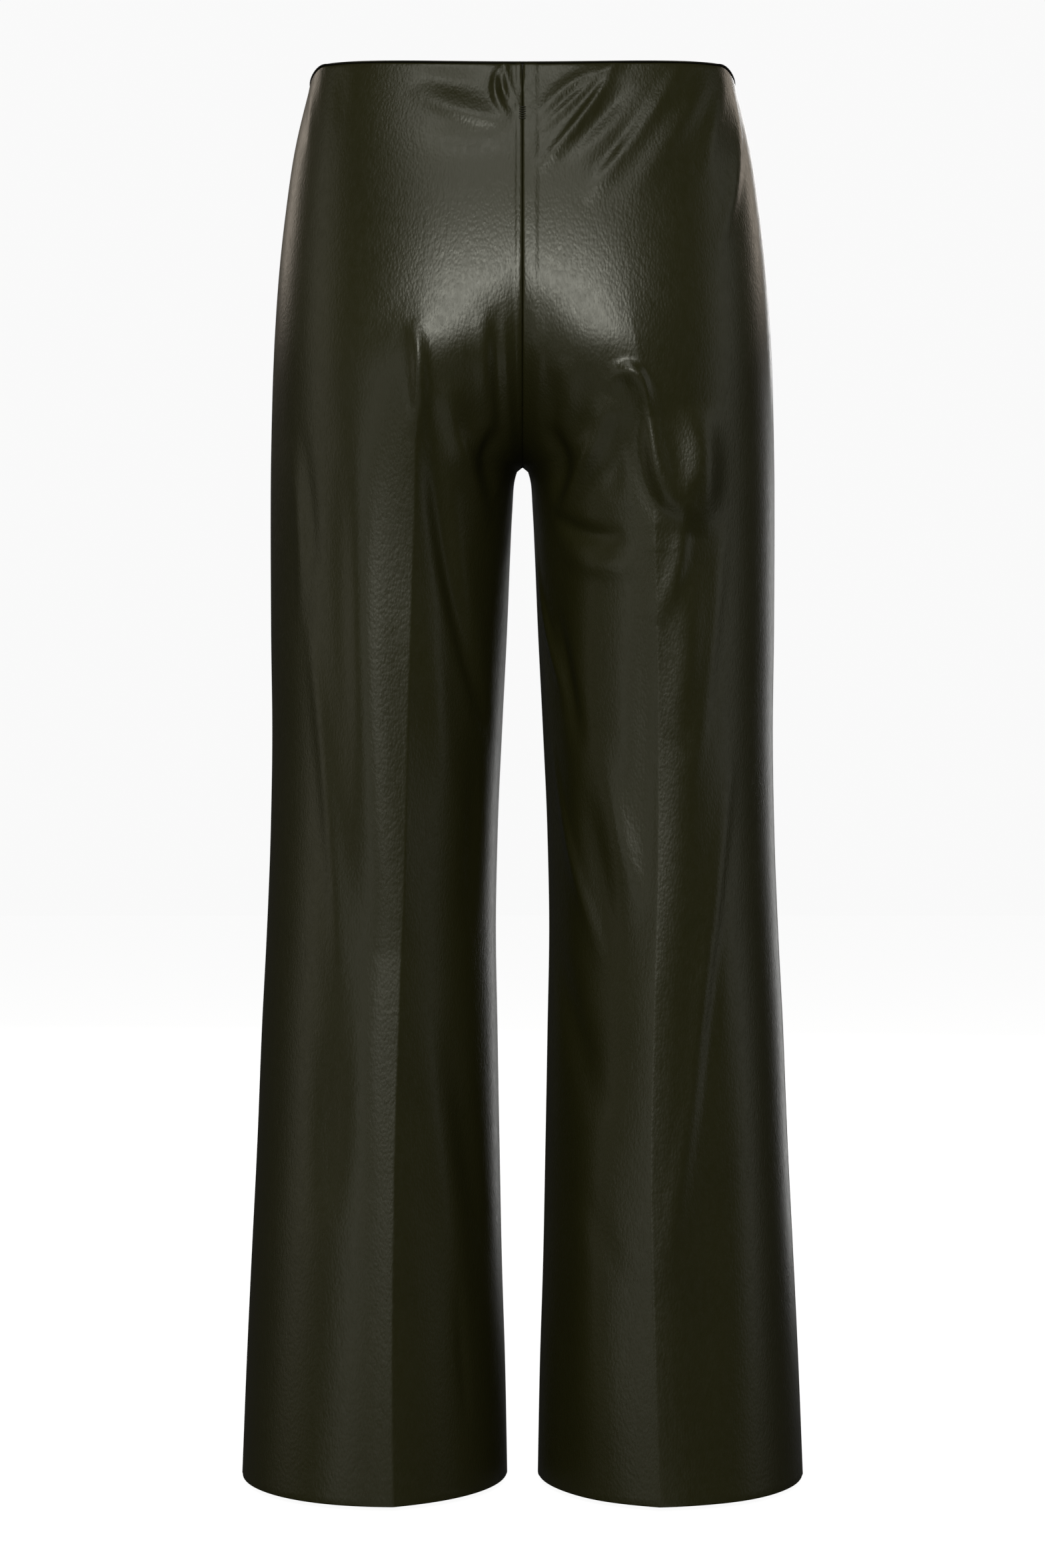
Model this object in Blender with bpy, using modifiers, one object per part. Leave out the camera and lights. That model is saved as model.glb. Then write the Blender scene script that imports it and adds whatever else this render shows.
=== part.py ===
"""Pull-on wide-leg trousers in faux leather on a knit backing, hollow, in the shape they
take when they are worn.

Metres, +Z up. The origin is the centre of the waist, 20 mm below its top edge. The seat
faces -Y and the front faces +Y, so the wearer's left leg is at -X.

The maker cuts four panels, a back and a front for each leg. They are sewn along the
centre back, the centre front, the two sides and the two inseams. Each panel starts here
as a flat grid, as the cloth does. Every point of the grid is then moved to its place on
the worn form, and the wall's thickness is added inwards.

Each leg is a tube of rings. From the hem up to the crotch the rings are whole. Above it
they grow over the centre line, where the other leg's rings cut them off, until at the
waist the two legs share one ring. That makes the seat's two rounds, the valley of the
centre seams and the saddle of the crotch.
"""

from collections import namedtuple

import bmesh
import bpy
import numpy as np

MM = 0.001

# Driving sizes, in metres.
WAIST_EDGE_Z = 0.020
CROTCH_Z = -0.249
HEM_Z = -0.953
WALL = 0.0015
SEAM_GAP = 0.0004

# The facing that holds the waist's elastic, a band that hangs inside the top edge.
FACING_DEPTH = 0.041
FACING_WALL = 0.0012
FACING_GAP = 0.0010
FACING_ROWS = 4
FACING_QUARTER = 12

# The grid of each panel. Its columns are split evenly by the pressed crease.
COLUMNS_TO_CREASE = 8
COLUMNS_TO_SIDE = 8
ROWS_ABOVE_CROTCH = 21
ROWS_BELOW_CROTCH = 33
HIP_ROW_CROWDING = 1.45
LEG_ROW_CROWDING = 1.35
ARC_SAMPLES = 160

# The pressed crease stands up as a keel that dies away to both sides.
CREASE_REACH = 0.026

# Folds push points near the centre plane less far towards it.
CENTRE_FADE = 0.022

# Rings of one leg, from the waist down, in millimetres. Heights are measured from the
# origin. `outer` is the side seam's distance from the centre plane, `middle` is where
# the ring is deepest, and `inner` is its innermost point: below zero it lies past the
# centre plane. `back`, `front` and `seam` are the Y of the ring's two extremes and of
# the side seam and inseam. `square` is the power of the ring's curve: 2 is an ellipse,
# and more is squarer.
Ring = namedtuple("Ring", "height outer middle inner back front seam square")
RINGS = [
    Ring(20, 147.0, 0.0, -147.0, -101, 101, 0, 3.30),
    Ring(0, 151.8, 1.5, -149.5, -107, 104, -1, 3.20),
    Ring(-30, 157.4, 6.0, -147.0, -117, 107, -3, 3.05),
    Ring(-70, 163.2, 14.5, -138.0, -127, 110, -6, 2.80),
    Ring(-110, 167.9, 27.0, -120.0, -134, 111, -8, 2.60),
    Ring(-145, 170.7, 42.0, -95.0, -137, 111.5, -9, 2.42),
    Ring(-180, 172.7, 59.0, -63.0, -134, 112, -10, 2.25),
    Ring(-205, 173.5, 70.5, -39.0, -128, 112, -10, 2.12),
    Ring(-225, 174.1, 78.0, -21.0, -123, 111.5, -9, 2.05),
    Ring(-238, 174.4, 82.0, -9.8, -120, 110.8, -8.5, 2.00),
    Ring(-249, 174.7, 84.7, 0.0, -117.5, 110, -8, 2.00),
    Ring(-258, 174.8, 86.5, 5.0, -115.5, 109.2, -7.5, 2.00),
    Ring(-275, 175.0, 89.0, 7.0, -112.5, 107.7, -6, 2.00),
    Ring(-310, 175.2, 91.8, 8.8, -107.5, 105, -4, 2.00),
    Ring(-360, 175.2, 93.2, 10.9, -103, 101.5, -2, 2.00),
    Ring(-430, 174.5, 94.5, 14.5, -98, 97, -1, 2.00),
    Ring(-500, 175.7, 96.7, 17.7, -95, 93.5, -1, 2.00),
    Ring(-570, 178.5, 98.8, 19.1, -94, 91.5, -1, 2.00),
    Ring(-640, 182.2, 100.0, 17.9, -95, 91, -2, 2.00),
    Ring(-720, 185.5, 101.0, 16.4, -98, 92, -3, 2.00),
    Ring(-800, 189.6, 102.2, 14.8, -102, 94, -4, 2.00),
    Ring(-880, 193.4, 102.8, 12.3, -106, 96, -5, 2.00),
    Ring(-953, 196.4, 103.6, 10.9, -109, 98, -5, 2.05),
]

# The pressed creases, in millimetres: how far each lies from the centre plane, and how
# high its keel stands on the back and on the front.
Crease = namedtuple("Crease", "height back_left back_right front back_keel front_keel")
CREASES = [
    Crease(20, 60.0, 60.0, 74.0, 0.0, 0.0),
    Crease(-60, 62.0, 63.0, 78.0, 0.0, 0.6),
    Crease(-150, 66.0, 71.0, 83.0, 0.3, 2.5),
    Crease(-190, 70.3, 78.0, 85.0, 2.8, 3.6),
    Crease(-210, 70.8, 82.0, 86.0, 4.0, 4.2),
    Crease(-253, 72.5, 86.5, 87.0, 5.0, 4.8),
    Crease(-320, 75.5, 89.5, 88.5, 5.2, 5.2),
    Crease(-410, 78.8, 91.4, 90.0, 5.4, 5.4),
    Crease(-525, 82.1, 92.0, 91.0, 5.6, 5.6),
    Crease(-611, 85.0, 90.5, 91.5, 5.8, 5.8),
    Crease(-722, 88.3, 88.5, 92.5, 5.8, 5.8),
    Crease(-855, 89.5, 91.0, 94.0, 5.4, 5.4),
    Crease(-953, 88.5, 93.3, 95.0, 4.8, 4.8),
]

# The largest folds. Each is a soft ridge, or a trough where `rise` is negative, along a
# curve that starts at (x0, z0), heads for (x1, z1) and ends at (x2, z2), in millimetres
# as seen from the back or the front, with X measured outwards from the centre seam.
# `width` is the distance at which it has sunk to a third, and `rise` is its height half
# way along.
Fold = namedtuple("Fold", "x0 z0 x1 z1 x2 z2 width rise")
FOLDS = {
    "back_left": [
        Fold(20, 20, 26, -2, 8, -24, 8, 3.5),
        Fold(66, -22, 38, -20, 6, -28, 13, 3.0),
        Fold(16, -160, 12, -196, 6, -236, 8, 3.5),
        Fold(26, -214, 30, -240, 18, -262, 13, -6.0),
        Fold(46, -196, 44, -226, 40, -272, 11, 4.5),
        Fold(64, -214, 58, -300, 26, -424, 13, -6.0),
        Fold(34, -262, 30, -310, 26, -370, 14, 4.0),
        Fold(112, -232, 118, -330, 100, -480, 16, 3.5),
        Fold(150, -370, 130, -460, 120, -610, 12, 3.5),
        Fold(138, -330, 124, -430, 112, -560, 13, -3.0),
        Fold(52, -640, 34, -760, 46, -880, 16, -3.5),
        Fold(130, -650, 126, -730, 132, -820, 18, -3.5),
    ],
    "back_right": [
        Fold(38, 14, 28, -4, 10, -22, 8, 3.0),
        Fold(60, 14, 44, -26, 14, -52, 9, 4.0),
        Fold(102, 12, 76, -30, 36, -64, 10, 3.5),
        Fold(128, 4, 92, -36, 60, -60, 10, 3.0),
        Fold(144, 2, 152, -50, 130, -110, 10, 3.5),
        Fold(58, -192, 80, -180, 84, -222, 10, 4.5),
        Fold(84, -222, 86, -262, 106, -286, 10, 6.0),
        Fold(106, -286, 102, -320, 92, -344, 10, 5.0),
        Fold(112, -206, 120, -244, 106, -276, 13, 5.5),
        Fold(20, -206, 42, -214, 40, -246, 12, -5.5),
        Fold(54, -216, 46, -256, 24, -284, 9, 5.0),
        Fold(72, -216, 78, -236, 76, -262, 9, -4.0),
        Fold(20, -288, 50, -312, 86, -302, 10, -4.5),
        Fold(36, -330, 46, -376, 40, -410, 15, -5.5),
        Fold(20, -460, 34, -520, 62, -590, 9, 4.5),
        Fold(60, -476, 76, -510, 88, -560, 13, -4.5),
        Fold(150, -300, 138, -400, 112, -500, 10, 3.5),
        Fold(140, -496, 126, -560, 116, -650, 9, 4.0),
        Fold(104, -470, 110, -600, 98, -760, 13, -4.0),
    ],
    "front_left": [
        Fold(8, -186, 32, -176, 66, -140, 12, 3.0),
        Fold(10, -222, 44, -214, 92, -178, 12, 4.0),
        Fold(10, -246, 34, -270, 50, -336, 12, 4.0),
        Fold(118, -120, 128, -240, 120, -360, 17, -4.5),
        Fold(26, -300, 44, -400, 38, -500, 16, 4.0),
        Fold(136, -420, 124, -540, 132, -660, 16, 4.0),
        Fold(48, -620, 58, -740, 46, -860, 18, -4.0),
    ],
    "front_right": [
        Fold(8, -198, 38, -184, 78, -146, 13, 3.0),
        Fold(10, -228, 40, -222, 84, -190, 12, 4.5),
        Fold(10, -250, 38, -276, 44, -346, 12, 4.0),
        Fold(122, -140, 116, -260, 128, -380, 17, -4.5),
        Fold(30, -320, 38, -420, 46, -520, 16, 4.0),
        Fold(132, -400, 138, -520, 122, -640, 16, 4.0),
        Fold(52, -600, 42, -720, 56, -840, 18, -4.0),
    ],
}
FOLD_STEPS = 24
FOLD_END_TAPER = 0.08

# The outer face, a dark olive coating with a soft gloss, and the facing inside it.
OLIVE = (0.017, 0.018, 0.010, 1.0)
COATING_ROUGHNESS = 0.38
DARK_TAPE = (0.008, 0.008, 0.006, 1.0)
TAPE_ROUGHNESS = 0.85


def smooth_table(rows, column, heights):
    """One column of a table at any heights, along a curve that never overshoots."""
    known = np.array([row.height for row in rows][::-1]) * MM
    value = np.array([getattr(row, column) for row in rows][::-1], float)
    step = np.diff(known)
    slope = np.diff(value) / step
    turning = slope[:-1] * slope[1:] <= 0
    safe = np.where(turning, 1.0, slope[:-1] + slope[1:])
    inner = np.where(turning, 0.0, 2.0 * slope[:-1] * slope[1:] / safe)
    tangent = np.concatenate([slope[:1], inner, slope[-1:]])
    at = np.clip(np.searchsorted(known, heights, side="right") - 1, 0, len(step) - 1)
    t = (heights - known[at]) / step[at]
    return (
        (1 + 2 * t) * (1 - t) ** 2 * value[at]
        + t * (1 - t) ** 2 * step[at] * tangent[at]
        + t * t * (3 - 2 * t) * value[at + 1]
        + t * t * (t - 1) * step[at] * tangent[at + 1]
    )


def row_heights():
    """Heights of the grid's rows, crowded towards the crotch."""
    hip = np.linspace(1, 0, ROWS_ABOVE_CROTCH + 1) ** HIP_ROW_CROWDING
    leg = np.linspace(0, 1, ROWS_BELOW_CROTCH + 1)[1:] ** LEG_ROW_CROWDING
    return np.concatenate(
        [
            CROTCH_Z + (WAIST_EDGE_Z - CROTCH_Z) * hip,
            CROTCH_Z + (HEM_Z - CROTCH_Z) * leg,
        ]
    )


class LegRing:
    """The ring of one leg at one height, and its half towards the back or the front."""

    def __init__(self, height, back):
        row = {
            name: float(smooth_table(RINGS, name, np.array([height]))[0])
            for name in Ring._fields[1:]
        }
        self.middle = row["middle"] * MM
        self.outer_width = row["outer"] * MM - self.middle
        self.inner_width = self.middle - row["inner"] * MM
        self.seam_y = row["seam"] * MM
        self.depth = (row["back"] if back else row["front"]) * MM - self.seam_y
        self.power = 2.0 / row["square"]

    def half_width(self, side):
        return np.where(side >= 0, self.outer_width, self.inner_width)

    def point(self, angle):
        """Plan position at an angle: 0 at the side seam, pi at the inseam."""
        c, s = np.cos(angle), np.sin(angle)
        x = self.middle + self.half_width(c) * np.sign(c) * np.abs(c) ** self.power
        y = self.seam_y + self.depth * np.abs(s) ** self.power
        return x, y

    def outward(self, angle):
        """Level direction that points out of the ring."""
        c, s = np.cos(angle), np.sin(angle)
        x = np.sign(c) * np.abs(c) ** (2 - self.power) / self.half_width(c)
        y = np.abs(s) ** (2 - self.power) / self.depth
        length = np.hypot(x, y)
        return x / length, y / length

    def angle_at_x(self, x):
        off_middle = x - self.middle
        share = float(np.clip(off_middle / self.half_width(off_middle), -1, 1))
        return float(np.arccos(np.sign(share) * abs(share) ** (1 / self.power)))

    def angle_off_seam(self, gap):
        """The small angle that keeps a panel's edge this far off its seam."""
        return float(np.arcsin((gap / abs(self.depth)) ** (1 / self.power)))


def spaced_angles(ring, start, end, count):
    """Angles from start to end whose points lie evenly along the ring."""
    fine = np.linspace(start, end, ARC_SAMPLES)
    x, y = ring.point(fine)
    along = np.concatenate([[0], np.cumsum(np.hypot(np.diff(x), np.diff(y)))])
    return np.interp(np.linspace(0, along[-1], count + 1), along, fine)


def fold_height(folds, x, z):
    """How far all the folds of a panel raise the points (x, z) together."""
    total = np.zeros_like(x)
    t = np.linspace(0, 1, FOLD_STEPS)[:, None]
    for fold in folds:
        ends = [np.array(p) * MM for p in zip(fold[0:6:2], fold[1:6:2])]
        path = (1 - t) ** 2 * ends[0] + 2 * t * (1 - t) * ends[1] + t * t * ends[2]
        gap = np.hypot(x[..., None] - path[:, 0], z[..., None] - path[:, 1])
        nearest = gap.argmin(axis=-1)
        taper = np.sin(np.pi * np.clip(t[nearest, 0], FOLD_END_TAPER, 1 - FOLD_END_TAPER))
        spread = np.exp(-((gap.min(axis=-1) / (fold.width * MM)) ** 2))
        total += fold.rise * MM * taper * spread
    return total


def panel_points(name):
    """World points of one panel's outer face, indexed by row and column."""
    back = name.startswith("back")
    side = -1 if name.endswith("left") else 1
    crease_column = name if back else "front"
    keel_column = "back_keel" if back else "front_keel"
    rows = []
    for z in row_heights():
        ring = LegRing(z, back)
        height = np.array([z])
        crease_x = float(smooth_table(CREASES, crease_column, height)[0]) * MM
        keel = float(smooth_table(CREASES, keel_column, height)[0]) * MM
        edge = ring.angle_off_seam(SEAM_GAP / 2)
        inner_end = min(np.pi - edge, ring.angle_at_x(SEAM_GAP / 2))
        crease = ring.angle_at_x(crease_x)
        angles = np.concatenate(
            [
                spaced_angles(ring, inner_end, crease, COLUMNS_TO_CREASE),
                spaced_angles(ring, crease, edge, COLUMNS_TO_SIDE)[1:],
            ]
        )
        x, y = ring.point(angles)
        out_x, out_y = ring.outward(angles)
        along = np.concatenate([[0], np.cumsum(np.hypot(np.diff(x), np.diff(y)))])
        off_crease = np.abs(along - along[COLUMNS_TO_CREASE])
        raised = keel * np.exp(-off_crease / CREASE_REACH)
        raised = raised + fold_height(FOLDS[name], x, np.full_like(x, z))
        out_x = out_x * np.clip(x / CENTRE_FADE, 0, 1)
        rows.append(
            np.stack(
                [side * (x + raised * out_x), y + raised * out_y, np.full_like(x, z)],
                axis=-1,
            )
        )
    return np.array(rows)


def finish(name, colour, roughness):
    """A plain material of one colour and roughness."""
    material = bpy.data.materials.new(name)
    material.use_nodes = True
    shader = material.node_tree.nodes["Principled BSDF"]
    shader.inputs["Base Color"].default_value = colour
    shader.inputs["Roughness"].default_value = roughness
    shader.inputs["Metallic"].default_value = 0.0
    return material


def add_cloth(name, cloth, wall, material, collection):
    """Makes an open surface an object whose wall is added on its inner side."""
    mesh = bpy.data.meshes.new(name)
    cloth.to_mesh(mesh)
    cloth.free()
    mesh.shade_smooth()
    mesh.materials.append(material)
    piece = bpy.data.objects.new(name, mesh)
    collection.objects.link(piece)
    solidify = piece.modifiers.new("wall", "SOLIDIFY")
    solidify.thickness = wall
    solidify.offset = -1.0


def laid_grid(points):
    """A flat grid of cloth whose points are then moved to their places."""
    last_row, last_column = points.shape[0] - 1, points.shape[1] - 1
    cloth = bmesh.new()
    bmesh.ops.create_grid(cloth, x_segments=last_column, y_segments=last_row, size=0.5)
    for vert in cloth.verts:
        column = round((vert.co.x + 0.5) * last_column)
        row = round((vert.co.y + 0.5) * last_row)
        vert.co = points[row, column]
    return cloth


def sew_panel(name, material, collection):
    """One panel, cut as a grid and moved onto the worn form."""
    cloth = laid_grid(panel_points(name))
    if name in ("back_right", "front_left"):
        bmesh.ops.reverse_faces(cloth, faces=cloth.faces)
    add_cloth(name, cloth, WALL, material, collection)


def facing_row(height):
    """Points of the facing's outer face at one height, once round the waist."""
    row = []
    for back in (True, False):
        ring = LegRing(height, back)
        quarter = spaced_angles(ring, 0.0, ring.angle_at_x(0.0), FACING_QUARTER)
        x, y = ring.point(quarter)
        out_x, out_y = ring.outward(quarter)
        x = x - out_x * (WALL + FACING_GAP)
        y = y - out_y * (WALL + FACING_GAP)
        x[-1] = 0.0
        half = np.concatenate([x, -x[-2::-1]])
        depth = np.concatenate([y, y[-2::-1]])
        row += [(across if back else -across, y, height) for across, y in zip(half, depth)]
    return np.array(row)


def sew_facing(material, collection):
    """The facing, a closed band just inside the top of the panels."""
    heights = np.linspace(WAIST_EDGE_Z, WAIST_EDGE_Z - FACING_DEPTH, FACING_ROWS)
    cloth = laid_grid(np.array([facing_row(z) for z in heights]))
    bmesh.ops.remove_doubles(cloth, verts=cloth.verts, dist=0.00001)
    add_cloth("waist_facing", cloth, FACING_WALL, material, collection)


def main():
    for old in list(bpy.data.objects):
        bpy.data.objects.remove(old)
    trousers = bpy.data.collections.new("trousers")
    bpy.context.scene.collection.children.link(trousers)
    coating = finish("coated_knit", OLIVE, COATING_ROUGHNESS)
    tape = finish("facing_tape", DARK_TAPE, TAPE_ROUGHNESS)
    for name in FOLDS:
        sew_panel(name, coating, trousers)
    sew_facing(tape, trousers)


main()
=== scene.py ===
from collections import namedtuple

import bmesh
import bpy
import numpy as np
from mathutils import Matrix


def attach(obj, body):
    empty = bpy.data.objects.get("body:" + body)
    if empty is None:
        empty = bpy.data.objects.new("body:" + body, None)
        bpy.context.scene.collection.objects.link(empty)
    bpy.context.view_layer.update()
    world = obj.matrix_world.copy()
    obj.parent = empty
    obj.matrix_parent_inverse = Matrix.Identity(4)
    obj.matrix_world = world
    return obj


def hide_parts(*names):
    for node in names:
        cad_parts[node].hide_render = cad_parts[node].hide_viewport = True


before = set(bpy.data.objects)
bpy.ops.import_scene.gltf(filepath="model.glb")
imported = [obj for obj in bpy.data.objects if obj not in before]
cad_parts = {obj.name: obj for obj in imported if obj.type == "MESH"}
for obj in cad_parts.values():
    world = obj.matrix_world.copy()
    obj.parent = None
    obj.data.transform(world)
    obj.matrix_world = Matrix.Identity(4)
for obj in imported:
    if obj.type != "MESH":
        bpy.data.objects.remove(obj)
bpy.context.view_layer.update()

# ---------------------------------------------------------------------------------------
# The four panels. Pull-on trousers of faux leather, a knit with a polyurethane coating,
# cut as a back and a front for each leg. They are sewn right sides together, so the
# cloth rolls inwards along every seam. The top and the hems are turned inside.
# ---------------------------------------------------------------------------------------
MM = 0.001
WAIST_EDGE_Z = 0.020
CROTCH_Z = -0.249
HEM_Z = -0.953
CLOTH = 0.9 * MM
EDGE_ROLL = 1.3 * MM
WAIST_TURNING = 8 * MM
HEM_TURNING = 30 * MM

# Rings of one leg, in millimetres. `outer` and `inner` are how far its two sides are from
# the centre plane, below zero past it, and `middle` is where it is deepest. `back`,
# `front` and `seam` are the Y of its extremes and of its seams. `square` is the power of
# its curve, where 2 is an ellipse. Pressing flattens the legs beside their creases, so
# there it is under 2.
Ring = namedtuple("Ring", "height outer middle inner back front seam square")
RINGS = [
    Ring(20, 147.0, 0.0, -147.0, -101, 101, 0, 3.30),
    Ring(0, 151.8, 1.5, -149.5, -107, 104, -1, 3.20),
    Ring(-30, 157.4, 6.0, -147.0, -117, 107, -3, 3.05),
    Ring(-70, 163.2, 14.5, -138.0, -127, 110, -6, 2.80),
    Ring(-110, 167.9, 27.0, -120.0, -134, 111, -8, 2.60),
    Ring(-145, 170.7, 42.0, -95.0, -137, 111.5, -9, 2.42),
    Ring(-180, 172.7, 59.0, -63.0, -134, 112, -10, 2.25),
    Ring(-205, 173.5, 70.5, -39.0, -128, 112, -10, 2.12),
    Ring(-225, 174.1, 78.0, -21.0, -123, 111.5, -9, 2.05),
    Ring(-238, 174.4, 82.0, -9.8, -120, 110.8, -8.5, 2.00),
    Ring(-249, 174.7, 84.7, 0.0, -117.5, 110, -8, 2.00),
    Ring(-258, 174.8, 86.5, 5.0, -115.5, 109.2, -7.5, 2.00),
    Ring(-275, 175.0, 89.0, 7.0, -112.5, 107.7, -6, 1.97),
    Ring(-310, 175.2, 91.8, 8.8, -107.5, 105, -4, 1.93),
    Ring(-360, 175.2, 93.2, 10.9, -103, 101.5, -2, 1.90),
    Ring(-430, 174.5, 94.5, 14.5, -98, 97, -1, 1.87),
    Ring(-500, 175.7, 96.7, 17.7, -95, 93.5, -1, 1.85),
    Ring(-570, 178.5, 98.8, 19.1, -94, 91.5, -1, 1.84),
    Ring(-640, 182.2, 100.0, 17.9, -95, 91, -2, 1.84),
    Ring(-720, 185.5, 101.0, 16.4, -98, 92, -3, 1.85),
    Ring(-800, 189.6, 102.2, 14.8, -102, 94, -4, 1.87),
    Ring(-880, 193.4, 102.8, 12.3, -106, 96, -5, 1.92),
    Ring(-953, 196.4, 103.6, 10.9, -109, 98, -5, 1.98),
]

# Where each pressed crease runs, and how far it stands out, in millimetres.
Crease = namedtuple("Crease", "height back_left back_right front back_keel front_keel")
CREASES = [
    Crease(20, 60.0, 60.0, 74.0, 0.0, 0.0),
    Crease(-60, 62.0, 63.0, 78.0, 0.0, 0.6),
    Crease(-150, 66.0, 71.0, 83.0, 0.3, 2.5),
    Crease(-190, 70.3, 78.0, 85.0, 3.2, 3.6),
    Crease(-210, 70.8, 82.0, 86.0, 4.8, 4.2),
    Crease(-253, 72.5, 86.5, 87.0, 6.0, 4.8),
    Crease(-320, 75.5, 89.5, 88.5, 6.6, 5.4),
    Crease(-410, 78.8, 91.4, 90.0, 7.2, 6.0),
    Crease(-525, 82.1, 92.0, 91.0, 7.8, 6.5),
    Crease(-611, 85.0, 90.5, 91.5, 8.2, 7.0),
    Crease(-722, 88.3, 88.5, 92.5, 8.4, 7.2),
    Crease(-855, 89.5, 91.0, 94.0, 8.0, 7.0),
    Crease(-953, 88.5, 93.3, 95.0, 7.0, 6.4),
]
CREASE_REACH = 30 * MM
CREASE_TIP = 0.5 * MM

# Close to the centre plane the folds lift the cloth straight back or forwards.
CENTRE_FADE = 22 * MM

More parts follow.
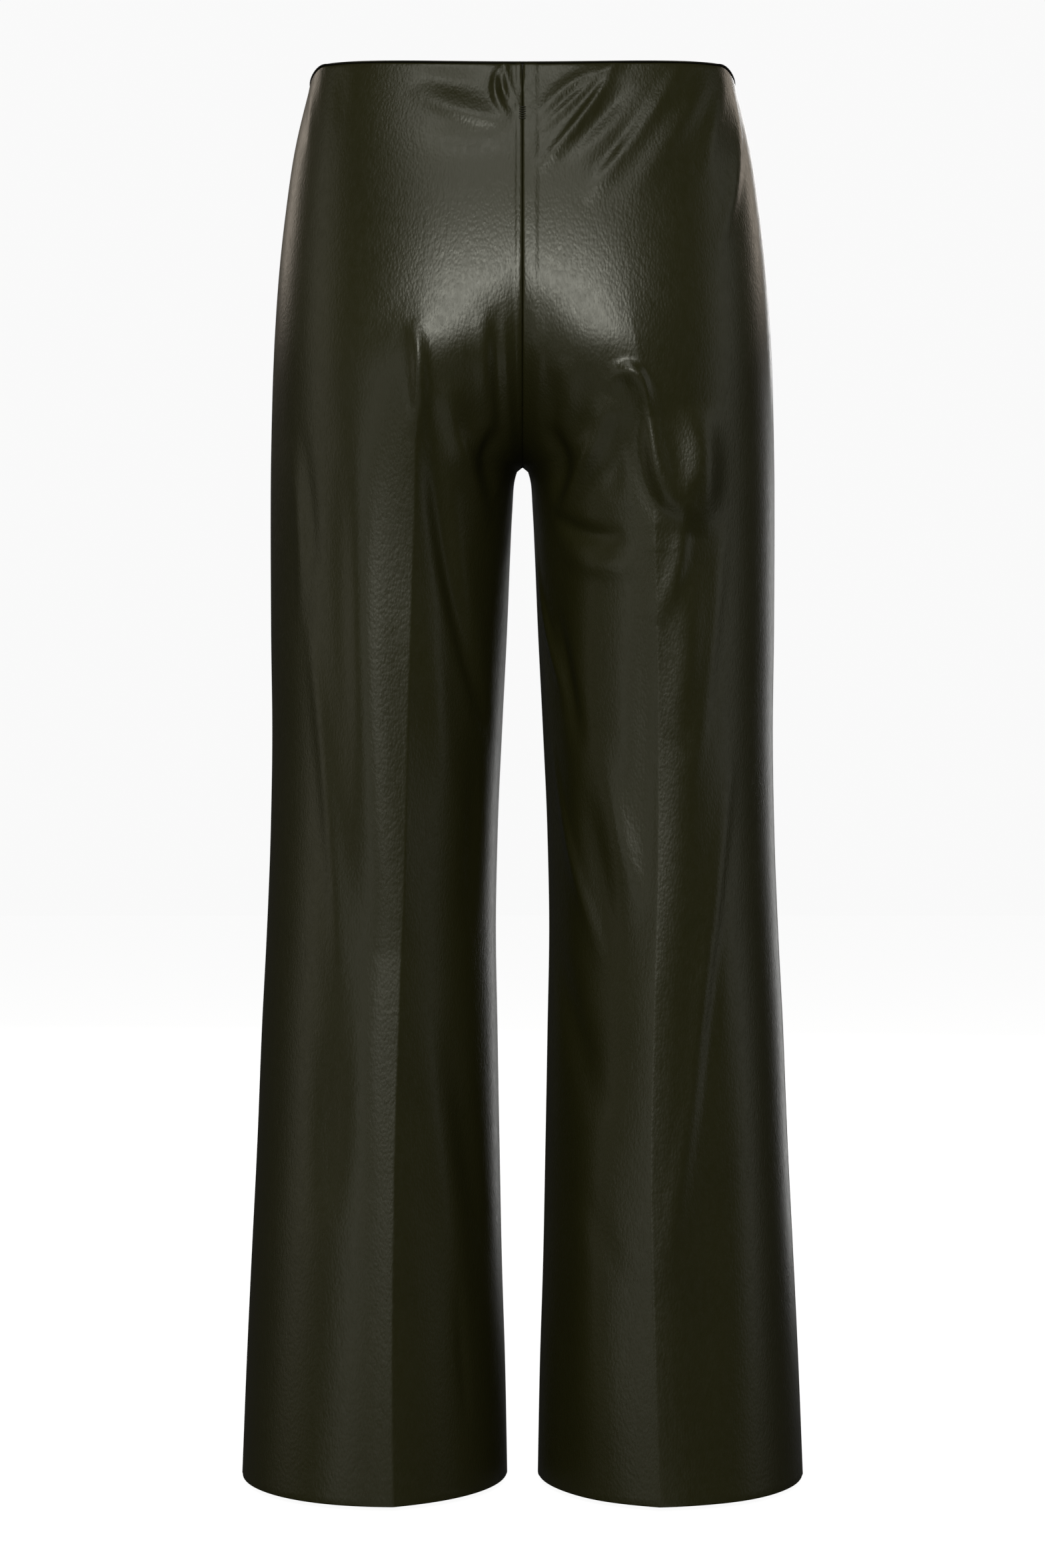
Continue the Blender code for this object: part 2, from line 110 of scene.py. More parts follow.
# Folds, in millimetres from the centre seam outwards and up from the origin. Each is a
# ridge, or a trough where `rise` is negative, from (x0, z0) towards (x1, z1) to
# (x2, z2). `lean` makes its left side steep, or its right side where it is negative.
Fold = namedtuple("Fold", "x0 z0 x1 z1 x2 z2 width rise lean")
FOLDS = {
    "back_left": [
        # The seat, and the hollow under it.
        Fold(92, -158, 56, -190, 12, -160, 24.0, 2.4, 0.0),
        Fold(66, -236, 44, -228, 24, -226, 17.0, -2.6, 0.0),
        # Beside the centre seam, where the elastic draws the waist in.
        Fold(6, 30, 30, 2, 7, -22, 3.4, 2.4, 0.2),
        Fold(13, 30, 11, 4, 2, -16, 2.6, 1.3, 0.0),
        Fold(16, 24, 17, 4, 10, -8, 2.8, -1.2, 0.0),
        Fold(74, 2, 36, -22, 2, -20, 9.0, 1.8, 0.3),
        Fold(72, 14, 50, 4, 24, 4, 9.0, -1.1, 0.0),
        Fold(66, -30, 40, -40, 8, -34, 7.0, -0.8, 0.0),
        Fold(145, 14, 142, -8, 146, -44, 5.0, 0.9, 0.2),
        Fold(122, 20, 121, -2, 124, -30, 5.0, -0.6, 0.0),
        # The tent where the crease begins.
        Fold(73, -156, 64, -190, 71, -236, 5.5, 4.0, 0.0),
        # Narrow ridges that run down beside the centre seam.
        Fold(12, -150, 12, -206, 6, -250, 3.6, 1.5, 0.2),
        Fold(18, -148, 18, -206, 11, -248, 4.8, -2.0, 0.0),
        Fold(27, -150, 26, -196, 22, -230, 6.0, 1.2, 0.0),
        # The drag lines from the start of the crease to the inner knee.
        Fold(50, -196, 46, -246, 22, -290, 8.0, 3.6, 0.0),
        Fold(12, -226, 30, -238, 18, -268, 9.0, -5.0, 0.0),
        Fold(63, -206, 60, -310, 22, -440, 9.0, -5.0, 0.1),
        Fold(66, -330, 60, -400, 50, -486, 12.0, 1.8, 0.0),
        Fold(36, -420, 32, -500, 40, -580, 12.0, -1.4, 0.0),
        # The outer thigh.
        Fold(107, -200, 112, -430, 86, -580, 17.0, 5.0, 0.0),
        Fold(118, -240, 122, -350, 112, -470, 8.0, -1.5, 0.0),
        Fold(146, -350, 130, -450, 121, -620, 7.0, 1.8, 0.2),
        Fold(158, -230, 148, -300, 151, -360, 6.0, 1.1, 0.0),
        Fold(150, -220, 140, -280, 142, -330, 6.0, -1.0, 0.0),
        # The lower leg.
        Fold(128, -630, 130, -700, 128, -770, 12.0, -1.6, 0.0),
        Fold(104, -580, 106, -660, 104, -740, 14.0, 1.2, 0.0),
        Fold(70, -610, 52, -740, 38, -850, 14.0, 1.8, 0.0),
        Fold(54, -620, 40, -720, 26, -800, 13.0, -1.6, 0.0),
        Fold(46, -800, 42, -860, 38, -910, 5.0, -1.0, 0.0),
    ],
    "back_right": [
        # The seat, and the hollow under it.
        Fold(96, -154, 58, -192, 12, -158, 24.0, 2.4, 0.0),
        Fold(64, -236, 46, -230, 28, -226, 14.0, -1.6, 0.0),
        # Drawn down and in from the waist to the centre seam.
        Fold(72, 18, 28, 16, 8, -26, 5.0, 2.2, 0.3),
        Fold(66, 26, 36, -4, 10, -32, 3.2, 1.5, 0.0),
        Fold(66, 28, 48, -14, 6, -62, 4.0, 2.4, -0.3),
        Fold(72, 8, 56, -20, 24, -52, 6.0, -1.6, 0.0),
        Fold(112, 26, 76, -34, 40, -80, 5.0, 2.2, -0.3),
        Fold(90, -10, 66, -38, 42, -60, 8.0, -1.6, 0.0),
        Fold(132, 22, 104, -30, 66, -84, 8.0, 1.4, 0.2),
        Fold(138, 14, 128, -20, 122, -62, 6.0, 1.4, 0.0),
        Fold(144, 12, 153, -50, 130, -112, 5.5, 2.0, 0.2),
        Fold(11, -150, 12, -200, 7, -244, 4.0, 1.3, 0.0),
        Fold(20, -190, 22, -214, 16, -240, 6.0, -1.6, 0.0),
        Fold(30, -180, 32, -206, 28, -232, 7.0, 1.4, 0.0),
        # From the seat, down the crease and over its shelf.
        Fold(57, -194, 78, -180, 82, -216, 6.5, 2.6, 0.5),
        Fold(56, -206, 78, -172, 82, -226, 6.5, 2.4, 0.3),
        Fold(82, -190, 84, -250, 100, -286, 6.0, 3.0, -0.4),
        Fold(72, -206, 76, -252, 92, -290, 6.5, -2.6, 0.0),
        Fold(82, -222, 92, -286, 116, -280, 11.0, 5.0, -0.5),
        Fold(104, -276, 113, -308, 90, -360, 5.5, 2.4, 0.3),
        Fold(114, -212, 122, -258, 112, -300, 14.0, 8.0, 0.0),
        Fold(114, -320, 116, -380, 106, -440, 12.0, 2.0, 0.0),
        # The hollow beside the crotch, and the folds from it across the inner thigh.
        Fold(12, -226, 34, -238, 22, -276, 9.0, -5.4, 0.0),
        Fold(56, -206, 46, -256, 20, -292, 7.5, 4.6, 0.2),
        Fold(64, -218, 66, -246, 58, -276, 9.0, -2.6, 0.0),
        Fold(20, -282, 42, -304, 70, -298, 6.5, -3.2, 0.0),
        Fold(24, -302, 50, -326, 78, -316, 9.0, 2.2, 0.0),
        Fold(9, -286, 10, -350, 32, -412, 5.0, 3.0, 0.3),
        Fold(24, -346, 34, -400, 44, -448, 8.0, -3.4, 0.0),
        Fold(20, -436, 34, -520, 62, -600, 5.5, 2.2, 0.5),
        Fold(46, -470, 52, -520, 66, -590, 9.0, -2.2, 0.0),
        Fold(54, -430, 62, -500, 84, -556, 10.0, 2.2, 0.2),
        Fold(44, -262, 38, -440, 44, -640, 22.0, 4.0, 0.0),
        Fold(88, -306, 89, -440, 85, -600, 15.0, -4.5, 0.0),
        # The outer thigh.
        Fold(134, -280, 128, -380, 110, -480, 7.0, 1.6, 0.2),
        Fold(126, -330, 120, -400, 110, -450, 8.0, -1.2, 0.0),
        Fold(142, -440, 128, -560, 116, -660, 6.5, 1.8, 0.3),
        # The lower leg.
        Fold(128, -560, 118, -690, 93, -810, 6.0, 1.5, 0.2),
        Fold(132, -560, 128, -640, 122, -700, 6.0, -1.0, 0.0),
        Fold(50, -650, 50, -800, 56, -990, 27.0, 5.0, 0.0),
        Fold(124, -550, 122, -760, 126, -990, 25.0, -4.5, 0.0),
        Fold(24, -570, 34, -640, 58, -700, 14.0, -2.6, 0.0),
        Fold(48, -740, 56, -780, 70, -800, 9.0, -1.0, 0.0),
    ],
    "front_left": [
        Fold(8, -186, 32, -176, 66, -140, 9.0, 2.4, 0.2),
        Fold(10, -222, 44, -214, 92, -178, 9.0, 3.2, 0.3),
        Fold(10, -246, 34, -270, 50, -336, 10.0, 3.0, 0.0),
        Fold(118, -120, 128, -240, 120, -360, 15.0, -2.4, 0.0),
        Fold(26, -300, 44, -400, 38, -500, 14.0, 2.4, 0.0),
        Fold(136, -420, 124, -540, 132, -660, 14.0, 2.0, 0.0),
        Fold(48, -620, 58, -740, 46, -860, 16.0, -2.0, 0.0),
        Fold(24, 22, 20, 4, 26, -22, 5.0, 1.2, 0.0),
        Fold(64, 22, 70, 0, 60, -34, 6.0, 1.2, 0.2),
        Fold(112, 20, 104, -16, 112, -60, 8.0, 1.4, 0.0),
    ],
    "front_right": [
        Fold(8, -198, 38, -184, 78, -146, 10.0, 2.4, 0.2),
        Fold(10, -228, 40, -222, 84, -190, 9.0, 3.4, 0.3),
        Fold(10, -250, 38, -276, 44, -346, 10.0, 3.0, 0.0),
        Fold(122, -140, 116, -260, 128, -380, 15.0, -2.4, 0.0),
        Fold(30, -320, 38, -420, 46, -520, 14.0, 2.4, 0.0),
        Fold(132, -400, 138, -520, 122, -640, 14.0, 2.0, 0.0),
        Fold(52, -600, 42, -720, 56, -840, 16.0, -2.0, 0.0),
        Fold(18, 22, 22, 2, 14, -24, 5.0, 1.2, 0.0),
        Fold(50, 22, 44, -6, 52, -40, 6.0, 1.4, 0.2),
        Fold(96, 20, 104, -10, 92, -44, 7.0, 1.2, 0.0),
    ],
}

# How many points a fold's path has, and how many widths away it has died out.
FOLD_STEPS = 48
FOLD_REACH = 3.5
FOLD_TAPER = 1.1
LEAN_STRENGTH = 0.6

# The top edge hangs lower at the centre seams, and is rounded off over the side seams.
EDGE_DROP = 3.6 * MM
EDGE_SAG = 4.4 * MM
EDGE_CORNER_FROM = 0.90
EDGE_CORNER_DROP = 12 * MM
EDGE_LIFT_DEPTH = 70 * MM

# The top of the gap between the legs is blunt, because four seams meet there.
GAP_WIDER = 3.4 * MM
GAP_TOP_Z = CROTCH_Z + 1 * MM
GAP_ROUNDING = 2.5 * MM
GAP_DEPTH = 32 * MM
GAP_ACROSS = 26 * MM

# How the cloth rolls in along a seam, and the low welt its allowances make beside it.
SEAM_DEPTH = 1.8 * MM
SEAM_RADIUS = 1.5 * MM
ALLOWANCE = {
    "back_left": 3.6 * MM,
    "back_right": 9 * MM,
    "front_left": 9 * MM,
    "front_right": 9 * MM,
}
ALLOWANCE_EDGE = 1.6 * MM
ALLOWANCE_RISE = 0.4 * MM

# Columns at set distances from a seam and from a crease, and evenly between.
NEAR_SEAM = np.array([0, 0.1, 0.3, 0.6, 1.0, 1.5, 2.5, 3.6, 4.4, 5.2, 7.2, 9.2, 10.6]) * MM
NEAR_CREASE = np.array([5.0, 3.4, 2.2, 1.3, 0.6, 0]) * MM
COLUMNS_BETWEEN = 46
ARC_SAMPLES = 260

# Rows are closer together down to where the small folds end.
FINE_ROW = 1.9 * MM
FINE_ROWS_END_Z = -0.36
COARSE_ROWS = 135
ROLL_STEPS = 7
WAIST_TURNING_ROWS = 4
HEM_TURNING_ROWS = 7

# The heights at which the tables are drawn as curves, past both ends of the leg.
LADDER_STEP = 1 * MM
LADDER_PAST = 60 * MM
LADDER = np.arange(HEM_Z - LADDER_PAST, WAIST_EDGE_Z + LADDER_PAST, LADDER_STEP)
SOFTENED = 12 * MM
INNER_SOFTENED = 4 * MM


def drawn(rows, column, softened=SOFTENED):
    """One column of a table at every height of the ladder, as a curve without bumps
    between its rows, then softened."""
    known = np.array([row.height for row in rows][::-1]) * MM
    value = np.array([getattr(row, column) for row in rows][::-1], float)
    step = np.diff(known)
    slope = np.diff(value) / step
    turning = slope[:-1] * slope[1:] <= 0
    safe = np.where(turning, 1.0, slope[:-1] + slope[1:])
    bend = np.where(turning, 0.0, 2.0 * slope[:-1] * slope[1:] / safe)
    tangent = np.concatenate([slope[:1], bend, slope[-1:]])
    at = np.clip(np.searchsorted(known, LADDER, side="right") - 1, 0, len(step) - 1)
    heights = np.clip(LADDER, known[0], known[-1])
    t = (heights - known[at]) / step[at]
    curve = (
        (1 + 2 * t) * (1 - t) ** 2 * value[at]
        + t * (1 - t) ** 2 * step[at] * tangent[at]
        + t * t * (3 - 2 * t) * value[at + 1]
        + t * t * (t - 1) * step[at] * tangent[at + 1]
    )
    curve += (LADDER - heights) * np.where(LADDER < heights, slope[0], slope[-1])
    reach = int(3 * softened / LADDER_STEP)
    spread = np.exp(-0.5 * (np.arange(-reach, reach + 1) * LADDER_STEP / softened) ** 2)
    padded = np.pad(curve, reach, mode="reflect", reflect_type="odd")
    return np.convolve(padded, spread / spread.sum(), mode="valid")


RING_CURVES = {name: drawn(RINGS, name) for name in Ring._fields[1:]}
RING_CURVES["inner"] = drawn(RINGS, "inner", INNER_SOFTENED)
CREASE_CURVES = {name: drawn(CREASES, name) for name in Crease._fields[1:]}


def at_height(curve, height):
    return np.interp(height, LADDER, curve)


class LegRing:
    """The ring of one leg at one height, with its half towards the back or the front."""

    def __init__(self, height, back):
        row = {name: at_height(curve, height) for name, curve in RING_CURVES.items()}
        self.middle = row["middle"] * MM
        self.outer_width = row["outer"] * MM - self.middle
        self.inner_width = self.middle - row["inner"] * MM
        self.seam_y = row["seam"] * MM
        near, far = ("back", "front") if back else ("front", "back")
        self.depth = row[near] * MM - self.seam_y
        self.far_depth = row[far] * MM - self.seam_y
        self.power = 2.0 / row["square"]

    def half_width(self, side):
        return np.where(side >= 0, self.outer_width, self.inner_width)

    def point(self, angle):
        """Plan position at an angle: 0 at the outer side, pi at the inseam."""
        c, s = np.cos(angle), np.sin(angle)
        depth = np.where(s >= 0, self.depth, self.far_depth)
        x = self.middle + self.half_width(c) * np.sign(c) * np.abs(c) ** self.power
        y = self.seam_y + depth * np.abs(s) ** self.power
        return x, y

    def outward(self, angle):
        """Level direction that points out of the ring."""
        c, s = np.cos(angle), np.sin(angle)
        depth = np.where(s >= 0, self.depth, self.far_depth)
        x = np.sign(c) * np.abs(c) ** (2 - self.power) / self.half_width(c)
        y = np.abs(s) ** (2 - self.power) / depth
        length = np.hypot(x, y)
        return x / length, y / length

    def angle_at_x(self, x):
        off_middle = x - self.middle
        share = np.clip(off_middle / self.half_width(off_middle), -1, 1)
        return np.arccos(np.sign(share) * np.abs(share) ** (1 / self.power))

    def stretch(self, seam, crease):
        """Angles of the columns from a seam to the crease, and how far along they are."""
        fine = np.linspace(seam, crease, ARC_SAMPLES)
        x, y = self.point(fine)
        along = np.concatenate([[0], np.cumsum(np.hypot(np.diff(x), np.diff(y)))])
        last = along[-1] - NEAR_CREASE
        even = np.linspace(NEAR_SEAM[-1], last[0], COLUMNS_BETWEEN + 2)[1:-1]
        places = np.concatenate([NEAR_SEAM, even, last])
        return np.interp(places, along, fine), places


def sheet_rows():
    """The rows of a panel, from inside the waist over its edge and down to the hem's
    turning: height, how far inside the outer face, and the way the face is turned."""
    half_turn = np.linspace(0, np.pi, ROLL_STEPS + 1)
    inside = 2 * EDGE_ROLL
    top = WAIST_EDGE_Z - EDGE_ROLL
    bottom = HEM_Z + EDGE_ROLL
    rows = []
    for z in np.linspace(WAIST_EDGE_Z - WAIST_TURNING, top, WAIST_TURNING_ROWS)[:-1]:
        rows.append((z, inside, np.pi))
    for turn in half_turn[::-1]:
        height = WAIST_EDGE_Z - EDGE_ROLL * (1 - np.sin(turn))
        rows.append((height, EDGE_ROLL * (1 - np.cos(turn)), turn))
    fine = np.arange(top - FINE_ROW, FINE_ROWS_END_Z, -FINE_ROW)
    coarse = np.linspace(FINE_ROWS_END_Z, bottom, COARSE_ROWS)
    for z in np.concatenate([fine, coarse[:-1]]):
        rows.append((z, 0.0, 0.0))
    for turn in half_turn:
        height = HEM_Z + EDGE_ROLL * (1 - np.sin(turn))
        rows.append((height, EDGE_ROLL * (1 - np.cos(turn)), -turn))
    for z in np.linspace(bottom, HEM_Z + HEM_TURNING, HEM_TURNING_ROWS)[1:]:
        rows.append((z, inside, -np.pi))
    return rows


def edge_lift(x, z):
    """How far the top edge moves a point up, or down where it is negative."""
    share = np.abs(x) / (at_height(RING_CURVES["outer"], WAIST_EDGE_Z) * MM)
    corner = np.clip((share - EDGE_CORNER_FROM) / (1 - EDGE_CORNER_FROM), 0, 1)
    fade = np.clip((z - WAIST_EDGE_Z) / EDGE_LIFT_DEPTH + 1, 0, 1)
    sag = EDGE_DROP * (1 - corner) - EDGE_SAG * np.minimum(share, 1) ** 2
    lift = -sag - EDGE_CORNER_DROP * corner**2
    return lift * fade * fade * (3 - 2 * fade)


def gap_shift(x, z):
    """How far outwards the cloth stands beside the blunt top of the gap."""
    below = GAP_TOP_Z - z
    opened = np.clip(below / GAP_ROUNDING, 0, 1) * np.clip(1 - below / GAP_DEPTH, 0, 1) ** 2
    return GAP_WIDER * opened * np.clip(1 - x / GAP_ACROSS, 0, 1) ** 2


def fold_height(folds, x, y, z, back):
    """How far all the folds of a panel together raise its points. Each is highest along
    its path, which lies on the ring, and falls away to both sides and to its ends."""
    total = np.zeros_like(x)
    t = np.linspace(0, 1, FOLD_STEPS)
    for fold in folds:
        width = fold.width * MM
        path = np.empty((FOLD_STEPS, 3))
        path[:, 0] = (1 - t) ** 2 * fold.x0 + 2 * t * (1 - t) * fold.x1 + t * t * fold.x2
        path[:, 2] = (1 - t) ** 2 * fold.z0 + 2 * t * (1 - t) * fold.z1 + t * t * fold.z2
        path[:, [0, 2]] *= MM
        for point in path:
            ring = LegRing(point[2], back)
            point[1] = ring.point(ring.angle_at_x(point[0]))[1]
        step = np.gradient(path, axis=0)
        length = np.linalg.norm(step, axis=1)
        step /= length[:, None]
        reach = FOLD_REACH * width
        near = (z > path[:, 2].min() - reach) & (z < path[:, 2].max() + reach)
        points = np.stack([x[near], y[near], z[near]], axis=1)
        closest = ((points[:, None] - path) ** 2).sum(axis=2).argmin(axis=1)
        gap = points - path[closest]
        along = (gap * step[closest]).sum(axis=1)
        slid = np.clip(along, -0.5 * length[closest], 0.5 * length[closest])
        slid = np.where((closest == 0) | (closest == FOLD_STEPS - 1), 0.0, slid)
        gap -= slid[:, None] * step[closest]
        distance = np.linalg.norm(gap, axis=1)
        left = step[closest, 0] * gap[:, 2] - step[closest, 2] * gap[:, 0]
        leaning = width * (1 - LEAN_STRENGTH * fold.lean * np.clip(left / width, -1, 1))
        place = t[closest] + slid / length[closest] * t[1]
        taper = np.sin(np.pi * np.clip(place, 0, 1)) ** FOLD_TAPER
        total[near] += fold.rise * MM * taper * np.exp(-((distance / leaning) ** 2))
    return total


def seam_drop(distance, allowance):
    """How far the face sinks at this distance from a seam."""
    inside = np.clip(1 - distance / SEAM_RADIUS, 0, 1)
    roll = SEAM_DEPTH * (1 - np.sqrt(1 - inside**2))
    past = np.clip((distance - allowance) / ALLOWANCE_EDGE, 0, 1)
    return roll - ALLOWANCE_RISE * (1 - past * past * (3 - 2 * past))


def panel_grid(name):
    """World points of one panel's outer face, by row and column."""
    back = name.startswith("back")
    side = -1 if name.endswith("left") else 1
    crease_curve = CREASE_CURVES[name if back else "front"]
    keel_curve = CREASE_CURVES["back_keel" if back else "front_keel"]
    rows = sheet_rows()
    shape = (len(rows), 2 * (len(NEAR_SEAM) + COLUMNS_BETWEEN + len(NEAR_CREASE)) - 1)
    x, y, z, out_x, out_y, keel, drop, inset, turn = np.zeros((9, *shape))
    for i, (height, inside, turned) in enumerate(rows):
        ring = LegRing(height, back)
        crease = ring.angle_at_x(at_height(crease_curve, height) * MM)
        inner, inner_places = ring.stretch(ring.angle_at_x(0.0), crease)
        outer, outer_places = ring.stretch(0.0, crease)
        angle = np.concatenate([inner, outer[-2::-1]])
        off_crease = np.concatenate(
            [inner_places[-1] - inner_places, (outer_places[-1] - outer_places)[-2::-1]]
        )
        off_seam = np.concatenate([inner_places, outer_places[-2::-1]])
        x[i], y[i] = ring.point(angle)
        out_x[i], out_y[i] = ring.outward(angle)
        z[i] = height
        sharp = np.sqrt(off_crease**2 + CREASE_TIP**2) - CREASE_TIP
        keel[i] = at_height(keel_curve, height) * MM * np.exp(-sharp / CREASE_REACH)
        drop[i] = seam_drop(off_seam, ALLOWANCE[name])
        inset[i] = inside
        turn[i] = turned
    folded = fold_height(FOLDS[name], x.ravel(), y.ravel(), z.ravel(), back)
    raised = keel + folded.reshape(shape)
    level_x = out_x * np.clip(x / CENTRE_FADE, 0, 1)
    px = x + raised * level_x - inset * out_x * np.clip(x / SEAM_RADIUS, 0, 1)
    py = y + (raised - inset) * out_y
    px = px - drop * np.cos(turn) * level_x
    py = py - drop * np.cos(turn) * out_y
    pz = z - drop * np.sin(turn)
    px[:, 0] = np.where(z[:, 0] > CROTCH_Z, 0.0, px[:, 0])
    px += gap_shift(x, z)
    return np.stack([side * px, py, pz + edge_lift(x, z)], axis=-1)


def laid_cloth(points):
    """A flat grid of cloth, its points moved to their places."""
    last_row, last_column = points.shape[0] - 1, points.shape[1] - 1
    cloth = bmesh.new()
    bmesh.ops.create_grid(cloth, x_segments=last_column, y_segments=last_row, size=0.5)
    for vert in cloth.verts:
        column = round((vert.co.x + 0.5) * last_column)
        row = round((vert.co.y + 0.5) * last_row)
        vert.co = points[row, column]
    return cloth


def linear(colour):
    """An sRGB hex colour as the linear values that Blender takes."""
    parts = [int(colour[i : i + 2], 16) / 255 for i in (1, 3, 5)]
    return [c / 12.92 if c <= 0.04045 else ((c + 0.055) / 1.055) ** 2.4 for c in parts] + [1.0]


def add_node(tree, kind, settings=(), links=()):
    """Adds a node with its settings, and links that lead into its sockets."""
    node = tree.nodes.new(kind)
    for key, value in dict(settings).items():
        if key in node.inputs:
            node.inputs[key].default_value = value
        else:
            setattr(node, key, value)
    for socket, source in dict(links).items():
        tree.links.new(source, node.inputs[socket])
    return node


def new_finish(name):
    """A new material, its node tree and its shader."""
    finish = bpy.data.materials.new(name)
    finish.use_nodes = True
    return finish, finish.node_tree, finish.node_tree.nodes["Principled BSDF"]


# The colour sockets of a Mix node, whose names its other kinds share.
MIX_LOW, MIX_HIGH, MIXED = 6, 7, 2

# Polyurethane coating pressed with a fine pebble grain: a soft, wide gloss over a dark
# olive that goes nearly black in the hollows. The pebbles are 0.8 mm on the real cloth
# and are drawn at 1.5 mm here, because finer ones would not show. The grain is nearly
# twice as tall as it is wide, and lies over crinkles and patches of tone.
PEBBLE = 1.5 * MM
CRINKLE = 4.0 * MM
TONE_PATCH = 71.43 * MM
GRAIN_SQUASH = 0.55
PEBBLE_DEPTH = 0.25 * MM
CRINKLE_DEPTH = 0.5 * MM
COATING_COLOUR = "#25240c"
COATING_WORN = "#2c2b12"
COATING_SHINE = "#fffff0"
COATING_GLOSS = (0.32, 0.41)
COATING_IOR = 1.5


def coated_face():
    finish, tree, shader = new_finish("polyurethane_coating")
    place = add_node(tree, "ShaderNodeTexCoord").outputs["Object"]
    upright = add_node(
        tree, "ShaderNodeMapping", {"Scale": (1.0, 1.0, GRAIN_SQUASH)}, {"Vector": place}
    ).outputs["Vector"]
    pebbles = add_node(
        tree,
        "ShaderNodeTexVoronoi",
        {"feature": "SMOOTH_F1", "Scale": 1 / PEBBLE, "Smoothness": 0.6, "Randomness": 1.0},
        {"Vector": upright},
    )
    crinkles = add_node(
        tree,
        "ShaderNodeTexNoise",
        {"Scale": 1 / CRINKLE, "Detail": 4.0, "Roughness": 0.6, "Distortion": 0.4},
        {"Vector": upright},
    )
    clouds = add_node(
        tree, "ShaderNodeTexNoise", {"Scale": 1 / TONE_PATCH, "Detail": 3.0}, {"Vector": place}
    )
    tone = add_node(
        tree, "ShaderNodeMix", {"data_type": "RGBA"}, {"Factor": clouds.outputs["Fac"]}
    )
    tone.inputs[MIX_LOW].default_value = linear(COATING_COLOUR)
    tone.inputs[MIX_HIGH].default_value = linear(COATING_WORN)
    tree.links.new(tone.outputs[MIXED], shader.inputs["Base Color"])
    gloss = add_node(
        tree,
        "ShaderNodeMapRange",
        {
            "From Min": 0.3,
            "From Max": 0.7,
            "To Min": COATING_GLOSS[0],
            "To Max": COATING_GLOSS[1],
        },
        {"Value": crinkles.outputs["Fac"]},
    )
    tree.links.new(gloss.outputs["Result"], shader.inputs["Roughness"])
    coarse = add_node(
        tree,
        "ShaderNodeBump",
        {"Strength": 0.28, "Distance": CRINKLE_DEPTH},
        {"Height": crinkles.outputs["Fac"]},
    )
    fine = add_node(
        tree,
        "ShaderNodeBump",
        {"Strength": 0.5, "Distance": PEBBLE_DEPTH, "invert": True},
        {"Height": pebbles.outputs["Distance"], "Normal": coarse.outputs["Normal"]},
    )
    tree.links.new(fine.outputs["Normal"], shader.inputs["Normal"])
    shader.inputs["IOR"].default_value = COATING_IOR
    shader.inputs["Specular Tint"].default_value = linear(COATING_SHINE)
    shader.inputs["Coat Weight"].default_value = 0.1
    shader.inputs["Coat Roughness"].default_value = 0.3
    return finish


# The knit that carries the coating: matt, brushed, nearly the same dark olive, with a
# nap that lies in tufts of 1.1 mm.
TUFT = 1.111 * MM
TUFT_DEPTH = 0.3 * MM
KNIT_COLOUR = "#25241d"


def knit_face():
    finish, tree, shader = new_finish("brushed_knit_backing")
    place = add_node(tree, "ShaderNodeTexCoord").outputs["Object"]
    nap = add_node(
        tree, "ShaderNodeTexNoise", {"Scale": 1 / TUFT, "Detail": 2.0}, {"Vector": place}
    )
    raised = add_node(
        tree,
        "ShaderNodeBump",
        {"Strength": 0.6, "Distance": TUFT_DEPTH},
        {"Height": nap.outputs["Fac"]},
    )
    tree.links.new(raised.outputs["Normal"], shader.inputs["Normal"])
    shader.inputs["Base Color"].default_value = linear(KNIT_COLOUR)
    shader.inputs["Roughness"].default_value = 0.95
    shader.inputs["Sheen Weight"].default_value = 0.2
    return finish


coating = coated_face()
backing = knit_face()

# Each panel as a sheet of cloth, coated outside, with the knit on its inner face and edges.
for name in FOLDS:
    cloth = laid_cloth(panel_grid(name))
    if name in ("back_right", "front_left"):
        bmesh.ops.reverse_faces(cloth, faces=cloth.faces)
    mesh = bpy.data.meshes.new(name + "_cloth")
    cloth.to_mesh(mesh)
    cloth.free()
    mesh.shade_smooth()
    mesh.materials.append(coating)
    mesh.materials.append(backing)
    panel = bpy.data.objects.new(name + "_cloth", mesh)
    bpy.context.scene.collection.objects.link(panel)
    wall = panel.modifiers.new("cloth", "SOLIDIFY")
    wall.thickness = CLOTH
    wall.offset = -1.0
    wall.material_offset = 1
    wall.material_offset_rim = 1
    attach(panel, "root")
    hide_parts(name)

# ---------------------------------------------------------------------------------------
# The waist facing. A ribbed elastic tape sewn round the inside of the top edge. It rolls
# over the edge, where it shows as a thin dark line, and is tacked to the centre seam.
# ---------------------------------------------------------------------------------------
TAPE = 0.75 * MM
TAPE_GAP = 0.10 * MM
TAPE_DEPTH = 41 * MM

# Where on the roll over the top edge the tape starts: 0 faces straight out, 90 degrees up.
TAPE_SHOWS_FROM = np.radians(60)
TAPE_QUARTER = 60
TAPE_ARC_STEPS = 12
TAPE_ROWS = 26

# How close two points of the tape must be to be joined into one, where its back and front meet
# at the sides.
WELD = 0.01 * MM


def tape_profile():
    """Height and distance inside the panels' outer face, from the edge of the roll that
    shows outside, over the top and down to the tape's lower edge."""
    reach = EDGE_ROLL + TAPE_GAP + TAPE
    arc = np.linspace(TAPE_SHOWS_FROM, np.pi, TAPE_ARC_STEPS)
    over = [
        (WAIST_EDGE_Z - EDGE_ROLL + reach * np.sin(turn), EDGE_ROLL - reach * np.cos(turn))
        for turn in arc
    ]
    down = np.linspace(WAIST_EDGE_Z - EDGE_ROLL, WAIST_EDGE_Z - TAPE_DEPTH, TAPE_ROWS)
    return over + [(z, EDGE_ROLL + reach) for z in down[1:]]


